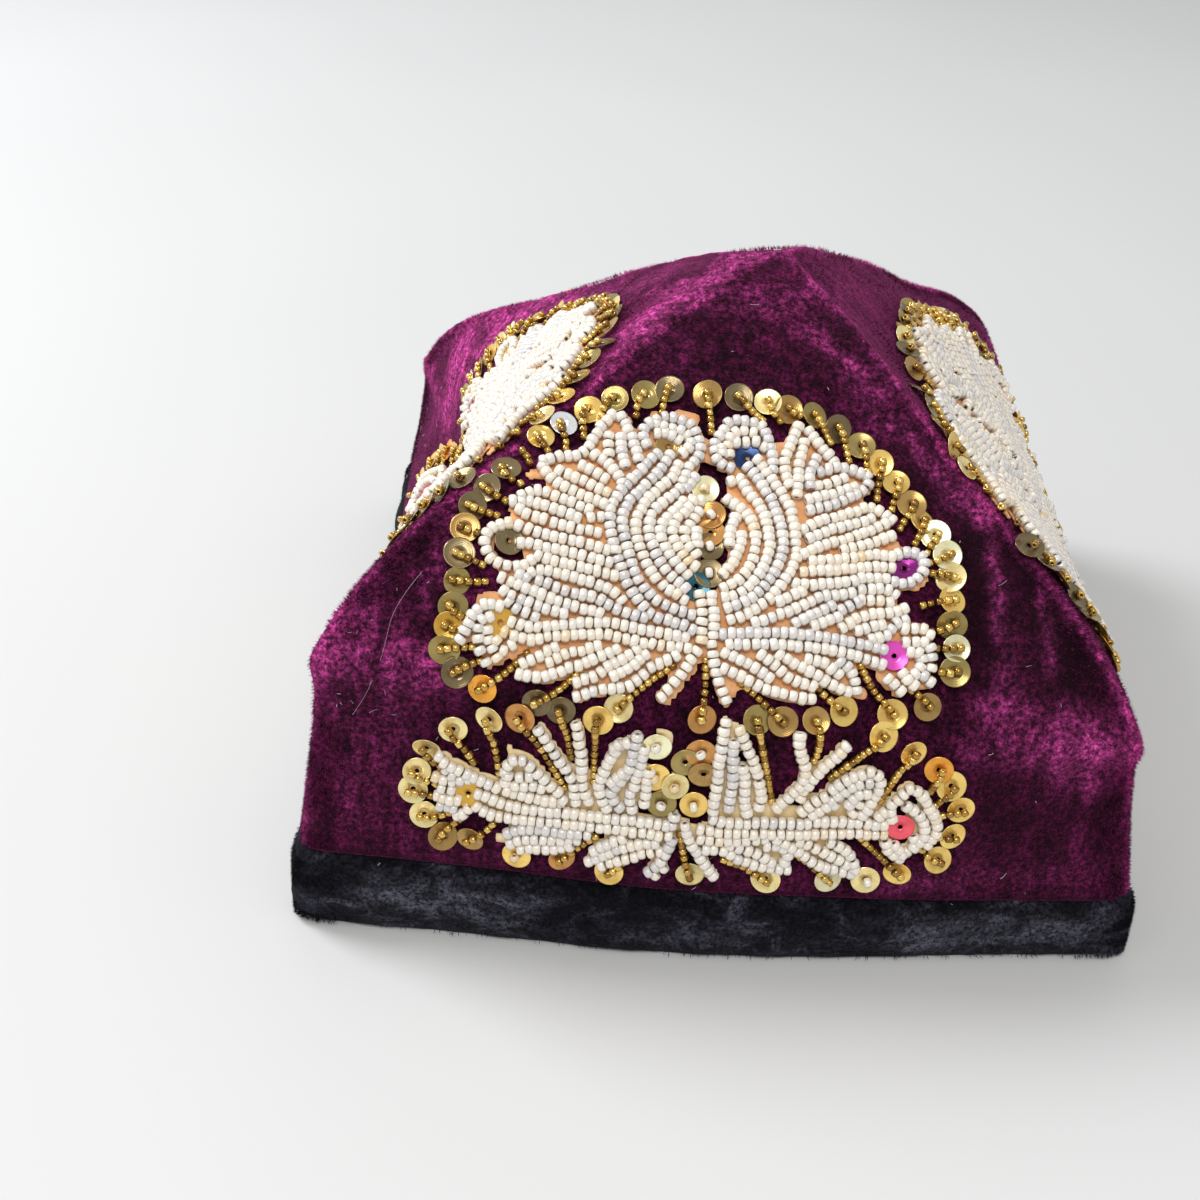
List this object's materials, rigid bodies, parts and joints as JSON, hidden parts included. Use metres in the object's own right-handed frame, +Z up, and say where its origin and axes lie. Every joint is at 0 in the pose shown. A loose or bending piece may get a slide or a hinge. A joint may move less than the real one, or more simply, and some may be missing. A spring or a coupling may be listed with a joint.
{
  "type": "embroidered velvet cap",
  "caption": "Square peaked velvet cap with bead-embroidered fan and spray motifs, sequin edging and a dark hem, open underneath for the head.",
  "frame": {"origin": "on the ground plane under the middle of the cap, level with the foot of the hem", "axes": "+Z up towards the crown's point, -Y towards the front panel, +X to the right as seen from the front"},
  "size_m": [0.15, 0.1588, 0.1012],
  "materials": {
    "plum_velvet": "deep plum velvet pile",
    "black_velvet": "black velvet pile",
    "white_beads": "opaque pearly seed beads",
    "gold_sequins": "metallised gold sequins and gold-lined beads"
  },
  "bodies": {
    "root": {"gore_right": "plum_velvet", "gore_back": "plum_velvet", "gore_left": "plum_velvet", "gore_front": "plum_velvet", "band": "plum_velvet", "hem": "black_velvet", "fan_right": "white_beads", "fan_back": "white_beads", "fan_left": "white_beads", "fan_front": "white_beads", "spray_right": "white_beads", "spray_back": "white_beads", "spray_left": "white_beads", "spray_front": "white_beads", "fan_sequins_right": "gold_sequins", "fan_sequins_back": "gold_sequins", "fan_sequins_left": "gold_sequins", "fan_sequins_front": "gold_sequins", "spray_sequins_right": "gold_sequins", "spray_sequins_back": "gold_sequins", "spray_sequins_left": "gold_sequins", "spray_sequins_front": "gold_sequins"}
  },
  "joints": []
}
